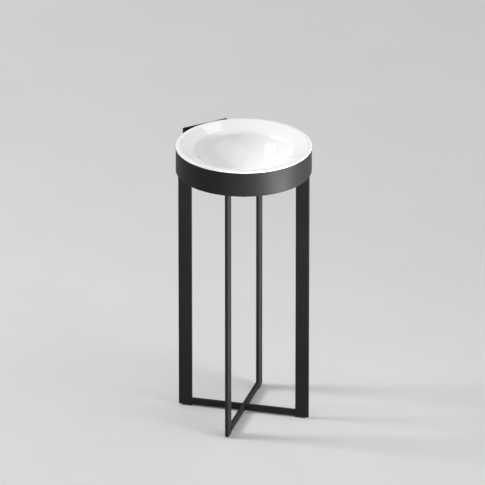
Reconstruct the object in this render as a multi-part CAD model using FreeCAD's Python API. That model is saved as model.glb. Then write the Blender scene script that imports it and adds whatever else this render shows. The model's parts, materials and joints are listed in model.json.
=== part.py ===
import FreeCAD, Part
import math
import os

from FreeCAD import Vector as V

# Free-standing round wash-stand (pedestal sink).
# A white glazed bowl sits in a black steel ring, which stands on four flat-bar
# legs. The legs are joined at the floor by two rails that cross in a half-lap.
# A plate behind the ring fixes the stand to the wall, and a low-profile waste
# body takes the water back through the wall in a 32 mm pipe.
#
# Frame: millimetres, +Z up. +Y points at the wall, so the user stands at -Y and
# +X is on their right. The shapes are drawn about the bowl's axis. save() then
# moves them along Y, so that the origin is the middle of the object's box at
# floor level, with the waste pipe counted.

# ---------------------------------------------------------------- dimensions
RIM_Z = 860.0            # top of the bowl rim above the floor
RING_R = 200.0           # outer radius of the ring band and of the bowl rim
RING_WALL = 4.0          # rolled flat bar
RIM_EDGE = 5.0           # height of the white edge that shows above the ring
GASKET_T = 1.0           # silicone ring between rim and ring band
RING_TOP = RIM_Z - RIM_EDGE - GASKET_T
RING_BOTTOM = 781.0

# bowl: flat land, shallow flank, deep spherical well
LAND_R = 188.0           # inner edge of the flat land
FLANK_SLOPE = 0.36       # about 20 degrees
WELL_EDGE_R = 141.0      # where the flank would meet the well without its round
WELL_BOTTOM = 754.5      # lowest point of the sphere, below the waste flange
WELL_ROUND = 28.0        # convex round between flank and well
LAND_ROUND = 7.0         # round between land and flank
BOWL_T = 8.5             # wall of the well
FLANK_T = 8.0            # wall of the flank
RECESS_R, RECESS_Z = 34.0, 753.0
HOLE_R = 23.0
BOWL_UNDER = 745.0       # flat boss under the waste hole

# legs and rails
BAR_W, BAR_T = 40.0, 9.0  # legs, flat bar on edge: the wide side is radial
LEG_R = 199.0            # outer edge of a leg
RAIL_H = 20.0
GLIDE_H = 4.0
GLIDE_L = 30.0
GLIDE_INSET = 10.0       # from the leg's outer edge to the glide
PEG_R, PEG_L = 2.5, 9.0
TONGUE_R = 195.9         # the leg's top end stands inside the ring band
TONGUE_TOP = 830.0
EDGE = 0.7               # edge round of the bars
LEG_ANGLES = {"front_left": 225.0, "front_right": 315.0, "rear_right": 45.0, "rear_left": 135.0}

# wall bracket
WALL_Y = 230.0           # plane of the wall
PLATE_W, PLATE_H, PLATE_T = 150.0, 55.0, 8.0
PLATE_Z = 818.5
WALL_HOLE_R, WALL_HOLE_X = 3.25, 55.0
BLOCK_W, BLOCK_H = 52.0, 46.0
SCREW_DZ = 12.0          # the two bracket screws stand this far above and below PLATE_Z
SCREW_R = 3.0

# waste
FLANGE_TOP, FLANGE_R = 757.0, 33.0
SHANK_R, SHANK_BOTTOM = 21.0, 728.0
THROAT_R, LEDGE_R, LEDGE_Z = 18.0, 15.5, 738.0
FIT = 0.05               # radial play of threaded and slipped-on rings
POT_R, POT_TOP, POT_BOTTOM = 30.0, 733.0, 700.0
POT_WALL = 3.0
PIPE_Z = 713.0
PIPE_R, PIPE_BORE = 16.0, 14.5
PIPE_START, PIPE_END = 34.0, 275.0
SOCKET_R, SOCKET_END = 20.0, 52.0
MARK_Y = 232.0           # insertion mark turned into the pipe
FRAME_Y = -(PIPE_END - RING_R) / 2   # the bowl's axis stands at this Y in the finished frame

os.makedirs("parts", exist_ok=True)
Z = V(0, 0, 1)
O = V(0, 0, 0)
made = {}


def save(name, shape):
    """Writes one node. A node is one or more closed solids."""
    solids = shape.Solids
    assert solids, name
    for s in solids:
        assert s.isValid() and s.Volume > 0, name
    solids = [s.copy() for s in solids]
    for s in solids:
        s.translate(V(0, FRAME_Y, 0))
    out = solids[0] if len(solids) == 1 else Part.makeCompound(solids)
    out.exportStep("parts/%s.step" % name)
    made[name] = out
    print("%-22s %2d solid  %10.1f mm3" % (name, len(solids), sum(s.Volume for s in solids)))


def p(r, z):
    return V(r, 0, z)


def path(start, *steps):
    """A closed profile in the XZ plane. A step is (r, z) for a line, or
    ((r, z) through, (r, z) end) for an arc."""
    edges, at = [], start
    for s in steps:
        if isinstance(s[0], tuple):
            edges.append(Part.Arc(p(*at), p(*s[0]), p(*s[1])).toShape())
            at = s[1]
        else:
            edges.append(Part.LineSegment(p(*at), p(*s)).toShape())
            at = s
    if math.dist(at, start) > 1e-6:
        edges.append(Part.LineSegment(p(*at), p(*start)).toShape())
    return Part.Wire(edges)


def turn(wire):
    """The profile turned about the Z axis."""
    return Part.Face(wire).revolve(O, Z, 360)


def tube(r_in, r_out, z0, z1):
    return turn(path((r_in, z0), (r_out, z0), (r_out, z1), (r_in, z1)))


def along_y(shape, y0, z):
    """Turns a shape made about +Z from z = 0 so that it lies about +Y from y0 at height z."""
    s = shape.copy()
    s.rotate(O, V(1, 0, 0), -90)
    s.translate(V(0, y0, z))
    return s


def at_angle(shape, degrees):
    s = shape.copy()
    s.rotate(O, Z, degrees)
    return s


def block(x0, x1, y0, y1, z0, z1):
    return Part.makeBox(x1 - x0, y1 - y0, z1 - z0, V(x0, y0, z0))


def round_along(shape, radius, keep):
    """Rounds the straight edges for which keep(edge) is true."""
    edges = [e for e in shape.Edges if keep(e)]
    return shape.makeFillet(radius, edges) if edges else shape


def direction(e):
    d = e.valueAt(e.LastParameter) - e.valueAt(e.FirstParameter)
    return V(abs(d.x), abs(d.y), abs(d.z)) * (1 / max(d.Length, 1e-9))


# ---------------------------------------------------------------- bowl
def flank_z(r):
    return RIM_Z - (LAND_R - r) * FLANK_SLOPE


alpha = math.atan(FLANK_SLOPE)
up = (-math.sin(alpha), math.cos(alpha))          # normal of the flank, into the bowl
edge_z = flank_z(WELL_EDGE_R)
depth = edge_z - WELL_BOTTOM
WELL_R = (WELL_EDGE_R ** 2 + depth ** 2) / (2 * depth)
WELL_C = WELL_BOTTOM + WELL_R


def sphere_z(r, radius):
    return WELL_C - math.sqrt(radius ** 2 - r ** 2)


def well_round(rf):
    """Centre and tangent points of the round between the well and the flank."""
    lo, hi = WELL_EDGE_R - 30, WELL_EDGE_R + 40

    def gap(r):
        c = (r - up[0] * rf, flank_z(r) - up[1] * rf)
        return math.hypot(c[0], c[1] - WELL_C) - (WELL_R + rf)

    for _ in range(80):
        mid = (lo + hi) / 2
        if gap(lo) * gap(mid) <= 0:
            hi = mid
        else:
            lo = mid
    on_flank = (lo, flank_z(lo))
    c = (lo - up[0] * rf, flank_z(lo) - up[1] * rf)
    k = WELL_R / (WELL_R + rf)
    on_well = (c[0] * k, WELL_C + (c[1] - WELL_C) * k)
    a0, a1 = math.atan2(on_well[1] - c[1], on_well[0] - c[0]), math.atan2(on_flank[1] - c[1], on_flank[0] - c[0])
    am = (a0 + a1) / 2
    return on_well, (c[0] + rf * math.cos(am), c[1] + rf * math.sin(am)), on_flank


on_well, mid_round, on_flank = well_round(WELL_ROUND)
t = LAND_ROUND * math.tan(alpha / 2)              # tangent length of the land round
land_in = (LAND_R + t, RIM_Z)
land_mid = (LAND_R + t - LAND_ROUND * math.sin(alpha / 2), RIM_Z - LAND_ROUND * (1 - math.cos(alpha / 2)))
land_down = (LAND_R - t * math.cos(alpha), RIM_Z - t * math.sin(alpha))
well_start = (RECESS_R + 1.0, sphere_z(RECESS_R + 1.0, WELL_R))
lip = (RECESS_R, well_start[1] - 0.8)
am = math.atan2((on_well[1] + well_start[1]) / 2 - WELL_C, (on_well[0] + well_start[0]) / 2)
well_mid = (WELL_R * math.cos(am), WELL_C + WELL_R * math.sin(am))

# underside
under = WELL_R + BOWL_T
BOSS_R = 40.0


def under_flank(r):
    return flank_z(r) - FLANK_T / math.cos(alpha)


lo, hi = 120.0, 175.0
for _ in range(80):
    mid = (lo + hi) / 2
    if sphere_z(mid, under) < under_flank(mid):
        lo = mid
    else:
        hi = mid
neck = (lo, under_flank(lo))
boss = (BOSS_R, sphere_z(BOSS_R, under))
am = math.atan2((neck[1] + boss[1]) / 2 - WELL_C, (neck[0] + boss[0]) / 2)
under_mid = (under * math.cos(am), WELL_C + under * math.sin(am))
SKIRT_R = 194.0
edge_bottom = RIM_Z - RIM_EDGE
q = math.sqrt(0.5)

bowl = turn(path(
    (HOLE_R, BOWL_UNDER),
    (HOLE_R, RECESS_Z),
    (RECESS_R, RECESS_Z),
    lip,
    well_start,
    (well_mid, on_well),
    (mid_round, on_flank),
    land_down,
    (land_mid, land_in),
    (RING_R - 2.0, RIM_Z),
    ((RING_R - 2.0 * (1 - q), RIM_Z - 2.0 * (1 - q)), (RING_R, RIM_Z - 2.0)),
    (RING_R, edge_bottom + 1.0),
    ((RING_R - 1.0 * (1 - q), edge_bottom + 1.0 * (1 - q)), (RING_R - 1.0, edge_bottom)),
    (SKIRT_R, edge_bottom),
    (SKIRT_R, under_flank(SKIRT_R)),
    neck,
    (under_mid, boss),
    (BOSS_R, BOWL_UNDER),
))
save("bowl", bowl)

save("bowl_gasket", tube(RING_R - 3.2, RING_R - 1.2, RING_TOP, RING_TOP + GASKET_T))

# ---------------------------------------------------------------- ring band
r0, r1, c = RING_R - RING_WALL, RING_R, 0.8
band = turn(path(
    (r0, RING_BOTTOM), (r1 - c, RING_BOTTOM),
    ((r1 - c * (1 - q), RING_BOTTOM + c * (1 - q)), (r1, RING_BOTTOM + c)),
    (r1, RING_TOP - c),
    ((r1 - c * (1 - q), RING_TOP - c * (1 - q)), (r1 - c, RING_TOP)),
    (r0, RING_TOP),
))
for dz in (-SCREW_DZ, SCREW_DZ):
    band = band.cut(along_y(Part.makeCylinder(SCREW_R + 0.25, 20), 188.0, PLATE_Z + dz))
save("ring_band", band)

# ---------------------------------------------------------------- legs
leg_in = LEG_R - BAR_W
body = block(leg_in, LEG_R, -BAR_T / 2, BAR_T / 2, GLIDE_H, RING_BOTTOM)
body = round_along(body, EDGE, lambda e: direction(e).z > 0.99)
tongue = block(leg_in, TONGUE_R, -BAR_T / 2, BAR_T / 2, RING_BOTTOM, TONGUE_TOP)
tongue = round_along(tongue, EDGE, lambda e: direction(e).z > 0.99 and e.CenterOfMass.x < leg_in + 1)
# The inner top corner is cut back at 45 degrees, clear of the bowl's underside.
nose = Part.Face(Part.makePolygon([V(leg_in - 1, -20, TONGUE_TOP - 11), V(leg_in - 1, -20, TONGUE_TOP + 1),
                                   V(leg_in + 11, -20, TONGUE_TOP + 1), V(leg_in - 1, -20, TONGUE_TOP - 11)])).extrude(V(0, 40, 0))
leg = body.fuse(tongue).removeSplitter().cut(nose)
glide_r0 = LEG_R - GLIDE_INSET - GLIDE_L
peg_at = LEG_R - GLIDE_INSET - GLIDE_L / 2
leg = leg.cut(Part.makeCylinder(PEG_R, PEG_L, V(peg_at, 0, GLIDE_H)))
for name, a in LEG_ANGLES.items():
    save("leg_" + name, at_angle(leg, a))

# ---------------------------------------------------------------- rails
# Both rails are full height at their ends and half height where they cross.
rail = block(-leg_in, leg_in, -BAR_T / 2, BAR_T / 2, GLIDE_H, GLIDE_H + RAIL_H)
rail = round_along(rail, EDGE, lambda e: direction(e).x > 0.99)
half = GLIDE_H + RAIL_H / 2
notch = BAR_T / 2 + 0.02
lower = rail.cut(block(-notch, notch, -10, 10, half, 60))
upper = rail.cut(block(-notch, notch, -10, 10, -10, half))
save("rail_lower", at_angle(lower, 45))
save("rail_upper", at_angle(upper, 135))

# ---------------------------------------------------------------- glides
pad = block(glide_r0, glide_r0 + GLIDE_L, -BAR_T / 2, BAR_T / 2, 0, GLIDE_H)
pad = round_along(pad, 1.0, lambda e: direction(e).z > 0.99)
pad = pad.fuse(Part.makeCylinder(PEG_R, PEG_L - 0.5, V(peg_at, 0, GLIDE_H))).removeSplitter()
for name, a in LEG_ANGLES.items():
    save("glide_" + name, at_angle(pad, a))

# ---------------------------------------------------------------- wall bracket
plate = block(-PLATE_W / 2, PLATE_W / 2, WALL_Y - PLATE_T, WALL_Y, PLATE_Z - PLATE_H / 2, PLATE_Z + PLATE_H / 2)
plate = round_along(plate, 4.0, lambda e: direction(e).y > 0.99)
front = WALL_Y - PLATE_T
plate = round_along(plate, EDGE, lambda e: abs(e.CenterOfMass.y - front) < 1e-3 and e.BoundBox.YLength < 1e-3)
for x in (-WALL_HOLE_X, WALL_HOLE_X):
    hole = Part.makeCylinder(WALL_HOLE_R, 20).fuse(Part.makeCone(WALL_HOLE_R + 3.2, WALL_HOLE_R, 3.2, V(0, 0, 0)))
    hole = along_y(hole, front, PLATE_Z)
    hole.translate(V(x, 0, 0))
    plate = plate.cut(hole)
for dz in (-SCREW_DZ, SCREW_DZ):
    plate = plate.cut(along_y(Part.makeCylinder(SCREW_R, 20), front - 5, PLATE_Z + dz))
save("wall_plate", plate)

saddle = block(-BLOCK_W / 2, BLOCK_W / 2, 180, front, PLATE_Z - BLOCK_H / 2, PLATE_Z + BLOCK_H / 2)
saddle = round_along(saddle, 3.0, lambda e: direction(e).y > 0.99)
saddle = saddle.cut(Part.makeCylinder(RING_R, 200, V(0, 0, 700)))
for dz in (-SCREW_DZ, SCREW_DZ):
    saddle = saddle.cut(along_y(Part.makeCylinder(SCREW_R + 0.25, 60), 180.0, PLATE_Z + dz))
save("standoff_block", saddle)

seat = RING_R - RING_WALL - 0.1
screws = []
for dz in (-SCREW_DZ, SCREW_DZ):
    # M6 button head with a hexagon socket, head inside the ring
    head_h, head_r = 3.3, 5.25
    profile = path((0, 0), (0, head_h), (2.6, head_h), ((head_r * 0.86, head_h * 0.62), (head_r, 0)))
    head = turn(profile)
    hexagon = Part.Face(Part.makePolygon([V(2.31 * math.cos(math.radians(60 * i)), 2.31 * math.sin(math.radians(60 * i)), 1.2)
                                          for i in range(7)])).extrude(V(0, 0, 5))
    head = head.cut(hexagon)
    head.rotate(O, V(1, 0, 0), 90)                # the head's top faces -Y, the bowl's axis
    head.translate(V(0, seat, PLATE_Z + dz))
    shank = along_y(Part.makeCylinder(SCREW_R, WALL_Y - 1.5 - seat), seat, PLATE_Z + dz)
    screws.append(head.fuse(shank).removeSplitter())
save("bracket_screws", Part.makeCompound(screws))

# ---------------------------------------------------------------- waste
save("drain_upper_seal", tube(HOLE_R + 1.0, FLANGE_R - 0.5, RECESS_Z, RECESS_Z + 1.0))
save("drain_flange", turn(path(
    (SHANK_R, SHANK_BOTTOM),
    (SHANK_R, RECESS_Z + 1.0),
    (FLANGE_R, RECESS_Z + 1.0),
    (FLANGE_R, FLANGE_TOP - 1.2),
    ((FLANGE_R - 0.35, FLANGE_TOP - 0.35), (FLANGE_R - 1.2, FLANGE_TOP)),
    (29.0, FLANGE_TOP),
    ((23.3, FLANGE_TOP - 2.6), (THROAT_R, FLANGE_TOP - 10.0)),
    (THROAT_R, LEDGE_Z),
    (LEDGE_R, LEDGE_Z),
    (LEDGE_R, SHANK_BOTTOM),
)))
save("drain_lower_seal", turn(path((SHANK_R + FIT, 742.0), (34.0, 742.0), (35.5, 745.0), (SHANK_R + FIT, 745.0))))

nut = Part.Face(Part.makePolygon([V(32.3 * math.cos(math.radians(60 * i)), 32.3 * math.sin(math.radians(60 * i)), 734.0)
                                  for i in range(7)])).extrude(V(0, 0, 8.0))
nut = nut.common(turn(path((0, 734.0), (29.5, 734.0), (32.4, 735.8), (32.4, 742.0), (0, 742.0))))
nut = nut.cut(Part.makeCylinder(SHANK_R + FIT, 20, V(0, 0, 730)))
save("drain_lock_nut", nut)

# cover: a domed metal cap on a finned plastic guide. It rests on the ledge in
# the throat, is never closed, and lifts out.
CAP_R, CAP_Z = 31.5, 762.0
CAP_BOSS, STUD_R = 6.5, 3.0
CAP_RISE = 2.9                                    # the dome is part of a sphere centred on the axis
DOME_R = (CAP_R ** 2 + CAP_RISE ** 2) / (2 * CAP_RISE)
dome_mid = (17.0, CAP_Z + 4.0 - (DOME_R - math.sqrt(DOME_R ** 2 - 17.0 ** 2)))
cap = turn(path(
    (0, CAP_Z - 0.2), (STUD_R + FIT, CAP_Z - 0.2), (STUD_R + FIT, CAP_Z - 6.0), (CAP_BOSS, CAP_Z - 6.0), (CAP_BOSS, CAP_Z - 1.5),
    ((CAP_BOSS + 1.5 * (1 - q), CAP_Z - 1.5 * (1 - q)), (CAP_BOSS + 1.5, CAP_Z)),
    (CAP_R - 0.8, CAP_Z), ((CAP_R - 0.15, CAP_Z + 0.5), (CAP_R, CAP_Z + 1.1)), (dome_mid, (0, CAP_Z + 4.0)),
))
save("cover_cap", cap)
guide = turn(path((0, LEDGE_Z - 2.0), (3.2, LEDGE_Z - 2.0), (4.0, LEDGE_Z - 1.0), (4.0, CAP_Z - 6.0), (STUD_R, CAP_Z - 6.0), (STUD_R, CAP_Z - 0.7), (0, CAP_Z - 0.7)))
for a in (90, 210, 330):
    fin = block(2.0, THROAT_R - 0.6, -0.9, 0.9, LEDGE_Z, LEDGE_Z + 9.0)
    guide = guide.fuse(at_angle(fin, a))
save("cover_guide", guide.removeSplitter())

# waste body: a low round pot that screws onto the flange's shank, outlet to +Y
rb = 18.0
pot = turn(path(
    (0, POT_BOTTOM), (POT_R - rb, POT_BOTTOM),
    ((POT_R - rb * (1 - q), POT_BOTTOM + rb * (1 - q)), (POT_R, POT_BOTTOM + rb)),
    (POT_R, POT_TOP - 4), (POT_R - 4, POT_TOP), (0, POT_TOP),
))
socket = along_y(Part.makeCylinder(SOCKET_R, SOCKET_END - 10), 10.0, PIPE_Z)
pot = pot.fuse(socket).removeSplitter()
inner = rb - POT_WALL
hollow = turn(path(
    (0, POT_BOTTOM + POT_WALL), (POT_R - POT_WALL - inner, POT_BOTTOM + POT_WALL),
    ((POT_R - POT_WALL - inner * (1 - q), POT_BOTTOM + POT_WALL + inner * (1 - q)), (POT_R - POT_WALL, POT_BOTTOM + rb)),
    (POT_R - POT_WALL, SHANK_BOTTOM - 4.5), (POT_R - POT_WALL - 6.0, SHANK_BOTTOM - 1.5), (0, SHANK_BOTTOM - 1.5),
))
pot = pot.cut(hollow)
pot = pot.cut(Part.makeCylinder(17.0, 20, V(0, 0, SHANK_BOTTOM - 6)))
pot = pot.cut(Part.makeCylinder(SHANK_R + FIT, 20, V(0, 0, SHANK_BOTTOM - 1.5)))
pot = pot.cut(along_y(Part.makeCylinder(PIPE_BORE - 4.5, 40), 8.0, PIPE_Z))
pot = pot.cut(along_y(Part.makeCylinder(PIPE_R + FIT, 40), PIPE_START - 0.5, PIPE_Z))
save("waste_body", pot)
save("waste_body_washer", tube(17.0, SHANK_R - 0.3, SHANK_BOTTOM - 1.5, SHANK_BOTTOM))

pipe = along_y(turn(path(
    (PIPE_BORE, 0), (PIPE_R, 0),
    (PIPE_R, MARK_Y - PIPE_START), (PIPE_R - 0.35, MARK_Y - PIPE_START), (PIPE_R - 0.35, MARK_Y - PIPE_START + 1.0), (PIPE_R, MARK_Y - PIPE_START + 1.0),
    (PIPE_R, PIPE_END - PIPE_START - 0.6), (PIPE_R - 0.6, PIPE_END - PIPE_START), (PIPE_BORE, PIPE_END - PIPE_START),
)), PIPE_START, PIPE_Z)
save("waste_pipe", pipe)

save("compression_seal", along_y(turn(path((PIPE_R + FIT, 0), (SOCKET_R - 0.4, 0), (PIPE_R + 1.6, 5.0), (PIPE_R + FIT, 5.0))), SOCKET_END, PIPE_Z))

n0 = 40.0
cnut = turn(path(
    (SOCKET_R + FIT, 0), (24.0, 0), (24.6, 1.0), (24.6, 17.0), (22.5, 22.0), (PIPE_R + 0.3, 22.0),
    (PIPE_R + 0.3, 17.1), (PIPE_R + 1.7, 17.05), (SOCKET_R + FIT, 12.0),
))
for i in range(12):
    rib = Part.makeCylinder(1.6, 14.0, V(24.8 * math.cos(math.radians(30 * i)), 24.8 * math.sin(math.radians(30 * i)), 2.0))
    cnut = cnut.fuse(rib)
save("compression_nut", along_y(cnut.removeSplitter(), n0, PIPE_Z))

rose = turn(path((PIPE_R + 0.2, 6.0), (PIPE_R + 0.2, -6.0), (PIPE_R + 2.0, -6.0), ((PIPE_R + 2.6, -1.2), (PIPE_R + 6.0, 1.0)),
                 ((30.0, 3.2), (36.0, 5.2)), (36.0, 6.0)))
save("wall_rose", along_y(rose, WALL_Y - 6.0, PIPE_Z))

# ---------------------------------------------------------------- own check
names = sorted(made)
worst = []
for i, a in enumerate(names):
    for b in names[i + 1:]:
        if made[a].BoundBox.intersect(made[b].BoundBox):
            v = sum(s.Volume for s in made[a].common(made[b]).Solids)
            if v > 0.005:
                worst.append((round(v, 3), a, b))
print(len(names), "nodes; overlaps:", sorted(worst, reverse=True) or "none")
print("well radius %.2f centre %.2f, depth below rim %.1f" % (WELL_R, WELL_C, RIM_Z - WELL_BOTTOM))
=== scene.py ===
import json
import math

import bmesh
import bpy
from mathutils import Matrix, Vector


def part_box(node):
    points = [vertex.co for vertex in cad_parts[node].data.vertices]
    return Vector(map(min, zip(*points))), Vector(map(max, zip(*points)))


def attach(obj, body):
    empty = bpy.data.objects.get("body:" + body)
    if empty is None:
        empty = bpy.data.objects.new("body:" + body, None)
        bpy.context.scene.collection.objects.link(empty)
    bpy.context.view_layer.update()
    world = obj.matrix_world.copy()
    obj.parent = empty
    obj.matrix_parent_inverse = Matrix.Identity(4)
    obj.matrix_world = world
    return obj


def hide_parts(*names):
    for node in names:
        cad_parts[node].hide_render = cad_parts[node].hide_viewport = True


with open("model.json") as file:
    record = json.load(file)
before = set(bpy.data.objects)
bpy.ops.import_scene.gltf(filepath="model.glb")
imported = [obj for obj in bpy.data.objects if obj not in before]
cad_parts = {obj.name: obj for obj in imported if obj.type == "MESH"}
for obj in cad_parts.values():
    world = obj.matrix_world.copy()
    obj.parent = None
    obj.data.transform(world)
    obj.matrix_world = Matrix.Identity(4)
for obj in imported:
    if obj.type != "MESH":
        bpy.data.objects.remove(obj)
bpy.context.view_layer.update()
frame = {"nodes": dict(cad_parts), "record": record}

NODES = frame["nodes"]
scene = bpy.context.scene

# ---------------------------------------------------------------- the CAD's own numbers, in metres
AXIS_Y = (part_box("ring_band")[0].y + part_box("ring_band")[1].y) / 2      # the bowl's axis
RIM_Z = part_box("bowl")[1].z
RING_R, RING_WALL = 0.200, 0.004
RING_BOTTOM, RING_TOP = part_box("ring_band")[0].z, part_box("ring_band")[1].z
LEG_OUT, LEG_W, BAR_T = 0.199, 0.040, 0.009
GLIDE_H, RAIL_H = 0.004, 0.020
PLATE_Z, SCREW_DZ = 0.8185, 0.012
LEGS = {"front_left": 225.0, "front_right": 315.0, "rear_right": 45.0, "rear_left": 135.0}


# ---------------------------------------------------------------- camera
# An ordinary long lens from the photograph's side and height, with no shift.
def aim(azimuth, elevation):
    a, e = math.radians(azimuth), math.radians(elevation)
    back = Vector((math.sin(a) * math.cos(e), -math.cos(a) * math.cos(e), math.sin(e)))
    right = Vector((math.cos(a), math.sin(a), 0.0))
    return back, right, back.cross(right)


CAM_AZ, CAM_EL, CAM_D = -30.11, 23.81, 25.0
back, right, up = aim(CAM_AZ, CAM_EL)
cam_data = bpy.data.cameras.new("camera")
cam_data.sensor_width = 36.0
cam_data.lens = 628.18
cam_data.clip_start, cam_data.clip_end = 0.5, 120.0
cam = bpy.data.objects.new("camera", cam_data)
scene.collection.objects.link(cam)
cam.location = Vector((0, AXIS_Y, 0.430)) + back * CAM_D + right * -0.00378 + up * 0.10726
cam.rotation_euler = back.to_track_quat("Z", "Y").to_euler()
scene.camera = cam


# ---------------------------------------------------------------- materials
class Nodes:
    """A short way to build a node tree."""

    def __init__(self, name):
        self.mat = bpy.data.materials.new(name)
        self.mat.use_nodes = True
        self.t = self.mat.node_tree
        self.t.nodes.clear()
        self.out = self.t.nodes.new("ShaderNodeOutputMaterial")
        self.bsdf = self.t.nodes.new("ShaderNodeBsdfPrincipled")
        self.t.links.new(self.bsdf.outputs[0], self.out.inputs[0])
        self.co = self.t.nodes.new("ShaderNodeTexCoord").outputs["Object"]

    def link(self, a, b):
        self.t.links.new(a, b)

    def noise(self, scale, detail=2.0, rough=0.5, co=None):
        n = self.t.nodes.new("ShaderNodeTexNoise")
        n.inputs["Scale"].default_value = scale
        n.inputs["Detail"].default_value = detail
        n.inputs["Roughness"].default_value = rough
        self.link(co or self.co, n.inputs["Vector"])
        return n.outputs["Fac"]

    def voronoi(self, scale, feature="F1"):
        n = self.t.nodes.new("ShaderNodeTexVoronoi")
        n.feature = feature
        n.inputs["Scale"].default_value = scale
        self.link(self.co, n.inputs["Vector"])
        return n.outputs["Distance"]

    def squeeze(self, v):
        """Coordinates stretched by v, for brushing and drawing marks."""
        n = self.t.nodes.new("ShaderNodeMapping")
        n.inputs["Scale"].default_value = v
        self.link(self.co, n.inputs["Vector"])
        return n.outputs[0]

    def to(self, fac, lo, hi, a=0.3, b=0.7):
        n = self.t.nodes.new("ShaderNodeMapRange")
        n.inputs["From Min"].default_value, n.inputs["From Max"].default_value = a, b
        n.inputs["To Min"].default_value, n.inputs["To Max"].default_value = lo, hi
        self.link(fac, n.inputs["Value"])
        return n.outputs[0]

    def mix(self, fac, c0, c1):
        n = self.t.nodes.new("ShaderNodeMix")
        n.data_type = "RGBA"
        self.link(fac, n.inputs["Factor"])
        for sock, c in ((n.inputs[6], c0), (n.inputs[7], c1)):
            if hasattr(c, "is_output"):
                self.link(c, sock)
            else:
                sock.default_value = (*c, 1.0)
        return n.outputs[2]

    def math(self, op, a, b):
        n = self.t.nodes.new("ShaderNodeMath")
        n.operation = op
        for sock, v in zip(n.inputs, (a, b)):
            if hasattr(v, "is_output"):
                self.link(v, sock)
            else:
                sock.default_value = v
        return n.outputs[0]

    def bump(self, height, distance, strength=1.0, normal=None):
        n = self.t.nodes.new("ShaderNodeBump")
        n.inputs["Strength"].default_value = strength
        n.inputs["Distance"].default_value = distance
        self.link(height, n.inputs["Height"])
        if normal is not None:
            self.link(normal, n.inputs["Normal"])
        return n.outputs[0]

    def set(self, **kw):
        for k, v in kw.items():
            sock = self.bsdf.inputs[k.replace("_", " ")]
            if hasattr(v, "is_output"):
                self.link(v, sock)
            else:
                sock.default_value = v
        return self.mat


def glaze():
    m = Nodes("white_glaze")
    tone = m.to(m.noise(6.0, 3.0), 0.0, 1.0)
    speck = m.to(m.noise(900.0, 1.0), 0.0, 1.0, 0.70, 0.78)       # a few pin-point specks
    colour = m.mix(tone, (0.862, 0.862, 0.858), (0.878, 0.878, 0.875))
    colour = m.mix(m.math("MULTIPLY", speck, 0.12), colour, (0.66, 0.65, 0.62))
    wave = m.noise(26.0, 2.0)                                      # slow waviness of a fired glaze
    fine = m.noise(420.0, 2.0)
    n = m.bump(wave, 0.00006, 1.0)
    n = m.bump(fine, 0.000003, 1.0, n)
    return m.set(Base_Color=colour, Roughness=m.to(m.noise(40.0, 3.0), 0.045, 0.085), IOR=1.52, Normal=n,
                 Coat_Weight=0.25, Coat_Roughness=0.03)


def powder_coat():
    m = Nodes("black_powder_coat")
    tone = m.to(m.noise(9.0, 4.0), 0.0, 1.0)
    fine = m.to(m.noise(1700.0, 2.0), 0.0, 1.0)
    colour = m.mix(tone, (0.0078, 0.0078, 0.0081), (0.0112, 0.0112, 0.0115))
    colour = m.mix(m.math("MULTIPLY", fine, 0.35), colour, (0.015, 0.015, 0.0155))
    peel = m.noise(520.0, 2.0, 0.45)                               # orange peel of a powder coat
    grain = m.noise(1900.0, 2.0, 0.6)
    n = m.bump(peel, 0.00009, 0.8)
    n = m.bump(grain, 0.00002, 0.8, n)
    rough = m.math("ADD", m.to(m.noise(14.0, 3.0), 0.49, 0.55), m.to(m.noise(800.0, 1.0), -0.02, 0.03))
    return m.set(Base_Color=colour, Roughness=rough, IOR=1.50, Specular_IOR_Level=0.15, Normal=n)


def chrome():
    m = Nodes("polished_chrome")
    tone = m.to(m.noise(18.0, 3.0), 0.0, 1.0)
    colour = m.mix(tone, (0.500, 0.506, 0.512), (0.550, 0.556, 0.562))
    film = m.noise(55.0, 5.0, 0.65)                                # a thin film of dried water
    hair = m.noise(1.0, 2.0, co=m.squeeze((2600.0, 240.0, 2600.0)))  # wiping marks
    n = m.bump(hair, 0.0000015, 0.7)
    n = m.bump(m.noise(70.0, 2.0), 0.000012, 1.0, n)
    rough = m.math("ADD", m.to(film, 0.045, 0.13, 0.35, 0.75), m.to(hair, 0.0, 0.02))
    return m.set(Base_Color=colour, Metallic=1.0, Roughness=rough, Normal=n)


def zinc():
    m = Nodes("zinc_plated_steel")
    patch = m.to(m.voronoi(900.0), 0.0, 1.0, 0.1, 0.8)
    colour = m.mix(patch, (0.50, 0.505, 0.52), (0.62, 0.625, 0.64))
    n = m.bump(m.noise(1.0, 2.0, co=m.squeeze((400.0, 400.0, 3000.0))), 0.00001, 0.7)
    return m.set(Base_Color=colour, Metallic=1.0, Roughness=m.to(m.noise(600.0, 3.0), 0.26, 0.42), Normal=n)


def brass():
    m = Nodes("turned_brass")
    turned = m.noise(1.0, 2.0, co=m.squeeze((60.0, 60.0, 4200.0)))
    tarnish = m.to(m.noise(90.0, 5.0, 0.6), 0.0, 1.0, 0.45, 0.75)
    colour = m.mix(tarnish, (0.76, 0.58, 0.29), (0.52, 0.37, 0.17))
    rough = m.math("ADD", m.to(turned, 0.22, 0.34), m.math("MULTIPLY", tarnish, 0.12))
    return m.set(Base_Color=colour, Metallic=1.0, Roughness=rough, Normal=m.bump(turned, 0.00001, 0.7))


def rubber():
    m = Nodes("moulded_rubber")
    bloom = m.to(m.noise(120.0, 4.0, 0.6), 0.0, 1.0)
    colour = m.mix(bloom, (0.020, 0.020, 0.021), (0.036, 0.036, 0.037))
    return m.set(Base_Color=colour, Roughness=m.to(m.noise(700.0, 2.0), 0.62, 0.80), Normal=m.bump(m.noise(1500.0, 2.0), 0.00002, 0.8))


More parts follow.
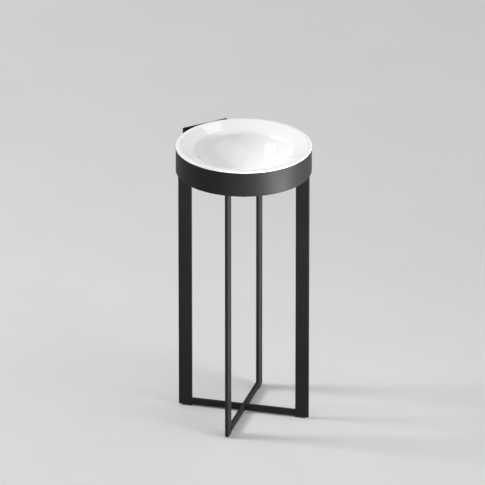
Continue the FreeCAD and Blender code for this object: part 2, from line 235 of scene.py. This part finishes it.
def moulded(name, dark, light, lo, hi):
    m = Nodes(name)
    colour = m.mix(m.to(m.noise(60.0, 4.0), 0.0, 1.0), dark, light)
    skin = m.bump(m.voronoi(1400.0), 0.00002, 0.6)                 # spark-eroded mould texture
    return m.set(Base_Color=colour, Roughness=m.to(m.noise(500.0, 3.0), lo, hi), IOR=1.49, Normal=skin)


MATS = {
    "glaze": glaze(),
    "frame": powder_coat(),
    "glide": moulded("black_glide_plastic", (0.012, 0.012, 0.012), (0.022, 0.022, 0.022), 0.48, 0.62),
    "seal": rubber(),
    "screw": zinc(),
    "chrome": chrome(),
    "brass": brass(),
    "plastic": moulded("pale_guide_plastic", (0.66, 0.66, 0.64), (0.74, 0.74, 0.72), 0.34, 0.46),
}
for sub in frame["record"]["subparts"]:
    mesh = NODES[sub["node"]].data
    for i in range(len(mesh.materials)):
        mesh.materials[i] = MATS[sub["material_slot"]]


# ---------------------------------------------------------------- mesh helpers
def arc(a, b, c, n):
    """n + 1 points on the circle through a, b and c, from a to c."""
    (ax, ay), (bx, by), (cx, cy) = a, b, c
    d = 2 * (ax * (by - cy) + bx * (cy - ay) + cx * (ay - by))
    ux = ((ax * ax + ay * ay) * (by - cy) + (bx * bx + by * by) * (cy - ay) + (cx * cx + cy * cy) * (ay - by)) / d
    uy = ((ax * ax + ay * ay) * (cx - bx) + (bx * bx + by * by) * (ax - cx) + (cx * cx + cy * cy) * (bx - ax)) / d
    r = math.hypot(ax - ux, ay - uy)
    t = [math.atan2(y - uy, x - ux) for x, y in (a, b, c)]
    turn = 2 * math.pi
    fwd = (t[2] - t[0]) % turn
    if (t[1] - t[0]) % turn > fwd:
        fwd -= turn
    return [(ux + r * math.cos(t[0] + fwd * i / n), uy + r * math.sin(t[0] + fwd * i / n)) for i in range(n + 1)]


def line(a, b, n):
    return [(a[0] + (b[0] - a[0]) * i / n, a[1] + (b[1] - a[1]) * i / n) for i in range(n + 1)]


def profile(*runs):
    """Joins runs of points into one closed profile, without doubled points."""
    out = []
    for run in runs:
        for p in run:
            if not out or math.dist(out[-1], p) > 1e-7:
                out.append(p)
    if math.dist(out[0], out[-1]) < 1e-7:
        out.pop()
    return out


def new_object(name, bm, mat, body="stand", sharp=35.0):
    bmesh.ops.recalc_face_normals(bm, faces=bm.faces)
    mesh = bpy.data.meshes.new(name)
    bm.to_mesh(mesh)
    bm.free()
    for p in mesh.polygons:
        p.use_smooth = True
    mesh.set_sharp_from_angle(angle=math.radians(sharp))
    mesh.materials.append(mat)
    obj = bpy.data.objects.new(name, mesh)
    scene.collection.objects.link(obj)
    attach(obj, body)
    return obj


def lathe(name, pts, mat, segs=256, body="stand", sharp=35.0):
    """A closed profile of (r, z) turned about the bowl's axis."""
    bm = bmesh.new()
    rings = []
    for r, z in pts:
        if r < 1e-7:
            rings.append([bm.verts.new((0, AXIS_Y, z))] * segs)
        else:
            rings.append([bm.verts.new((r * math.cos(2 * math.pi * i / segs), AXIS_Y + r * math.sin(2 * math.pi * i / segs), z)) for i in range(segs)])
    for a, b in zip(rings, rings[1:] + rings[:1]):
        if a[0] is a[1] and b[0] is b[1]:
            continue
        for i in range(segs):
            j = (i + 1) % segs
            loop = []
            for v in (a[i], b[i], b[j], a[j]):
                if v not in loop:
                    loop.append(v)
            bm.faces.new(loop)
    return new_object(name, bm, mat, body, sharp)


# ---------------------------------------------------------------- the glazed bowl
# The same section as the CAD's, turned finely enough for clean reflections.
LAND_R, FLANK_SLOPE, WELL_EDGE_R = 0.188, 0.36, 0.141
WELL_BOTTOM, WELL_ROUND, LAND_ROUND = 0.7545, 0.028, 0.007
BOWL_T, FLANK_T = 0.0085, 0.008
RECESS_R, RECESS_Z, HOLE_R, BOWL_UNDER = 0.034, 0.753, 0.023, 0.745


def flank_z(r):
    return RIM_Z - (LAND_R - r) * FLANK_SLOPE


alpha = math.atan(FLANK_SLOPE)
n_flank = (-math.sin(alpha), math.cos(alpha))
depth = flank_z(WELL_EDGE_R) - WELL_BOTTOM
WELL_R = (WELL_EDGE_R ** 2 + depth ** 2) / (2 * depth)
WELL_C = WELL_BOTTOM + WELL_R


def sphere_z(r, radius):
    return WELL_C - math.sqrt(radius ** 2 - r ** 2)


def bisect(f, lo, hi):
    for _ in range(80):
        mid = (lo + hi) / 2
        if f(lo) * f(mid) <= 0:
            hi = mid
        else:
            lo = mid
    return lo


def round_centre(r):
    return (r - n_flank[0] * WELL_ROUND, flank_z(r) - n_flank[1] * WELL_ROUND)


rt = bisect(lambda r: math.hypot(round_centre(r)[0], round_centre(r)[1] - WELL_C) - (WELL_R + WELL_ROUND), WELL_EDGE_R - 0.03, WELL_EDGE_R + 0.04)
on_flank, rc = (rt, flank_z(rt)), round_centre(rt)
k = WELL_R / (WELL_R + WELL_ROUND)
on_well = (rc[0] * k, WELL_C + (rc[1] - WELL_C) * k)
a0, a1 = math.atan2(on_well[1] - rc[1], on_well[0] - rc[0]), math.atan2(on_flank[1] - rc[1], on_flank[0] - rc[0])
mid_round = (rc[0] + WELL_ROUND * math.cos((a0 + a1) / 2), rc[1] + WELL_ROUND * math.sin((a0 + a1) / 2))
t = LAND_ROUND * math.tan(alpha / 2)
land_in = (LAND_R + t, RIM_Z)
land_mid = (LAND_R + t - LAND_ROUND * math.sin(alpha / 2), RIM_Z - LAND_ROUND * (1 - math.cos(alpha / 2)))
land_down = (LAND_R - t * math.cos(alpha), RIM_Z - t * math.sin(alpha))
well_start = (RECESS_R + 0.001, sphere_z(RECESS_R + 0.001, WELL_R))
am = math.atan2((on_well[1] + well_start[1]) / 2 - WELL_C, (on_well[0] + well_start[0]) / 2)
well_mid = (WELL_R * math.cos(am), WELL_C + WELL_R * math.sin(am))
under = WELL_R + BOWL_T
under_flank = lambda r: flank_z(r) - FLANK_T / math.cos(alpha)
rn = bisect(lambda r: sphere_z(r, under) - under_flank(r), 0.120, 0.160)
neck = (rn, under_flank(rn))
boss = (0.040, sphere_z(0.040, under))
am = math.atan2((neck[1] + boss[1]) / 2 - WELL_C, (neck[0] + boss[0]) / 2)
under_mid = (under * math.cos(am), WELL_C + under * math.sin(am))
SKIRT_R, EDGE_Z = 0.194, RIM_Z - 0.005
q = math.sqrt(0.5)

bowl = lathe("bowl_glazed", profile(
    line((HOLE_R, BOWL_UNDER + 0.0006), (HOLE_R, RECESS_Z - 0.0006), 3),
    line((HOLE_R + 0.0006, RECESS_Z), (RECESS_R - 0.0012, RECESS_Z), 5),
    arc((RECESS_R - 0.0012, RECESS_Z), (RECESS_R - 0.0012 * (1 - q), RECESS_Z + 0.0012 * (1 - q)), (RECESS_R, RECESS_Z + 0.0012), 5),
    arc((RECESS_R, well_start[1] - 0.0008), (RECESS_R + 0.0003, well_start[1] - 0.00025), well_start, 4),
    arc(well_start, well_mid, on_well, 90),
    arc(on_well, mid_round, on_flank, 24),
    line(on_flank, land_down, 24),
    arc(land_down, land_mid, land_in, 12),
    line(land_in, (RING_R - 0.002, RIM_Z), 6),
    arc((RING_R - 0.002, RIM_Z), (RING_R - 0.002 * (1 - q), RIM_Z - 0.002 * (1 - q)), (RING_R, RIM_Z - 0.002), 10),
    line((RING_R, RIM_Z - 0.002), (RING_R, EDGE_Z + 0.001), 3),
    arc((RING_R, EDGE_Z + 0.001), (RING_R - 0.001 * (1 - q), EDGE_Z + 0.001 * (1 - q)), (RING_R - 0.001, EDGE_Z), 6),
    line((RING_R - 0.001, EDGE_Z), (SKIRT_R + 0.0008, EDGE_Z), 3),
    line((SKIRT_R, EDGE_Z - 0.0008), (SKIRT_R, under_flank(SKIRT_R) + 0.001), 4),
    line((SKIRT_R - 0.001, under_flank(SKIRT_R - 0.001)), (neck[0] + 0.002, under_flank(neck[0] + 0.002)), 16),
    arc((neck[0] - 0.0014, sphere_z(neck[0] - 0.0014, under)), under_mid, boss, 60),
    line((boss[0], boss[1] - 0.001), (boss[0], BOWL_UNDER + 0.0008), 3),
    line((boss[0] - 0.0008, BOWL_UNDER), (HOLE_R + 0.0006, BOWL_UNDER), 4),
), MATS["glaze"], segs=384, sharp=40.0)
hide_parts("bowl")

# ---------------------------------------------------------------- the ring band
r0, r1, c = RING_R - RING_WALL, RING_R, 0.0008
band = lathe("ring_band_coated", profile(
    line((r0, RING_TOP - 0.0004), (r0, RING_BOTTOM + 0.0004), 24),
    arc((r0, RING_BOTTOM + 0.0004), (r0 + 0.0004 * (1 - q), RING_BOTTOM + 0.0004 * (1 - q)), (r0 + 0.0004, RING_BOTTOM), 3),
    line((r0 + 0.0004, RING_BOTTOM), (r1 - c, RING_BOTTOM), 3),
    arc((r1 - c, RING_BOTTOM), (r1 - c * (1 - q), RING_BOTTOM + c * (1 - q)), (r1, RING_BOTTOM + c), 8),
    line((r1, RING_BOTTOM + c), (r1, RING_TOP - c), 24),
    arc((r1, RING_TOP - c), (r1 - c * (1 - q), RING_TOP - c * (1 - q)), (r1 - c, RING_TOP), 8),
    line((r1 - c, RING_TOP), (r0 + 0.0004, RING_TOP), 3),
    arc((r0 + 0.0004, RING_TOP), (r0 + 0.0004 * (1 - q), RING_TOP - 0.0004 * (1 - q)), (r0, RING_TOP - 0.0004), 3),
), MATS["frame"], segs=384)
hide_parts("ring_band")


# ---------------------------------------------------------------- weld seams
# The frame's welds: a small fillet bead where each leg stands inside the ring
# band, and where each floor rail meets a leg.
def bead(bm, p0, p1, da, db, size, seed, step=0.0016):
    """A fillet bead from p0 to p1, in the corner between the directions da and db."""
    p0, p1, da, db = Vector(p0), Vector(p1), Vector(da), Vector(db)
    along = p1 - p0
    n = max(6, int(along.length / step * 3))
    rows = []
    for i in range(n + 1):
        s = i / n
        ripple = 1.0 + 0.09 * math.sin(2 * math.pi * s * along.length / step + seed) + 0.05 * math.sin(seed * 3 + s * 17.0)
        end = min(1.0, 0.25 + min(s, 1 - s) * along.length / (size * 0.8))
        w = size * ripple * end
        row = [bm.verts.new(p0 + along * s - da * 0.0002 - db * 0.0002)]
        for a in range(7):
            f = a / 6 * math.pi / 2
            bulge = 1.0 - 0.22 * math.sin(2 * f)
            row.append(bm.verts.new(p0 + along * s + da * (w * math.cos(f) * bulge) + db * (w * math.sin(f) * bulge)))
        rows.append(row)
    for a, b in zip(rows, rows[1:]):
        for i in range(len(a)):
            j = (i + 1) % len(a)
            bm.faces.new((a[i], a[j], b[j], b[i]))
    bm.faces.new(rows[0])
    bm.faces.new(list(reversed(rows[-1])))


for k_, (name, deg) in enumerate(LEGS.items()):
    turn = Matrix.Translation((0, AXIS_Y, 0)) @ Matrix.Rotation(math.radians(deg), 4, "Z")
    h = BAR_T / 2
    bm = bmesh.new()
    r_in = RING_R - RING_WALL
    for side in (-1, 1):
        # leg to band, upright, inside the ring
        x_in = math.sqrt(r_in ** 2 - h ** 2)
        bead(bm, (x_in, side * h, RING_BOTTOM + 0.001), (x_in, side * h, 0.8285), (-1, 0, 0), (0, side, 0), 0.0030, seed=1.3 + k_ + side)
        # rail to leg, upright
        bead(bm, (LEG_OUT - LEG_W, side * (h - 0.0007), GLIDE_H + 0.0015), (LEG_OUT - LEG_W, side * (h - 0.0007), GLIDE_H + RAIL_H - 0.001), (-1, 0, 0), (0, side, 0), 0.0016, seed=4.1 + k_ + side)
    # rail to leg, across the top
    bead(bm, (LEG_OUT - LEG_W, -h + 0.0012, GLIDE_H + RAIL_H), (LEG_OUT - LEG_W, h - 0.0012, GLIDE_H + RAIL_H), (-1, 0, 0), (0, 0, 1), 0.0022, seed=7.7 + k_)
    bmesh.ops.transform(bm, matrix=turn, verts=bm.verts)
    new_object("weld_" + name, bm, MATS["frame"], sharp=60.0)

# ---------------------------------------------------------------- floor and light
def stage_floor():
    bm = bmesh.new()
    bmesh.ops.create_circle(bm, cap_ends=True, radius=60.0, segments=96)
    mesh = bpy.data.meshes.new("studio_floor")
    bm.to_mesh(mesh)
    bm.free()
    m = Nodes("studio_floor")
    colour = m.mix(m.to(m.noise(3.0, 2.0), 0.0, 1.0), (0.618, 0.618, 0.622), (0.632, 0.632, 0.636))
    mesh.materials.append(m.set(Base_Color=colour, Roughness=0.85, Specular_IOR_Level=0.15))
    obj = bpy.data.objects.new("studio_floor", mesh)
    scene.collection.objects.link(obj)


stage_floor()

world = bpy.data.worlds.new("studio")
scene.world = world
world.use_nodes = True
world.node_tree.nodes["Background"].inputs[0].default_value = (1.0, 1.0, 1.0, 1.0)
world.node_tree.nodes["Background"].inputs[1].default_value = 0.47


def softbox(name, bearing, elevation, dist, w, h, watts, spread=180.0, target=(0, AXIS_Y, 0.55)):
    """An area light. bearing is counted from the camera's side, to the right."""
    b, r, u = aim(CAM_AZ + bearing, elevation)
    data = bpy.data.lights.new(name, "AREA")
    data.shape = "RECTANGLE"
    data.size, data.size_y, data.energy = w, h, watts
    data.spread = math.radians(spread)
    obj = bpy.data.objects.new(name, data)
    scene.collection.objects.link(obj)
    obj.location = Vector(target) + b * dist
    obj.rotation_euler = b.to_track_quat("Z", "Y").to_euler()
    obj.visible_camera = False


softbox("key_left", -97, 36, 14.0, 3.0, 3.0, 980)
softbox("window_left", -110, 46, 12.0, 12.5, 2.9, 255)
softbox("streak_back", 160, 53, 12.0, 1.0, 2.0, 11)
softbox("right_fill", 72, 62, 5.0, 4.0, 4.0, 58, target=(0, AXIS_Y, 0.30))
softbox("band_right", 59, -9, 2.9, 1.55, 0.68, 30, spread=46, target=(0, AXIS_Y, 0.82))
scene.view_settings.view_transform = "Standard"
scene.view_settings.look = "None"
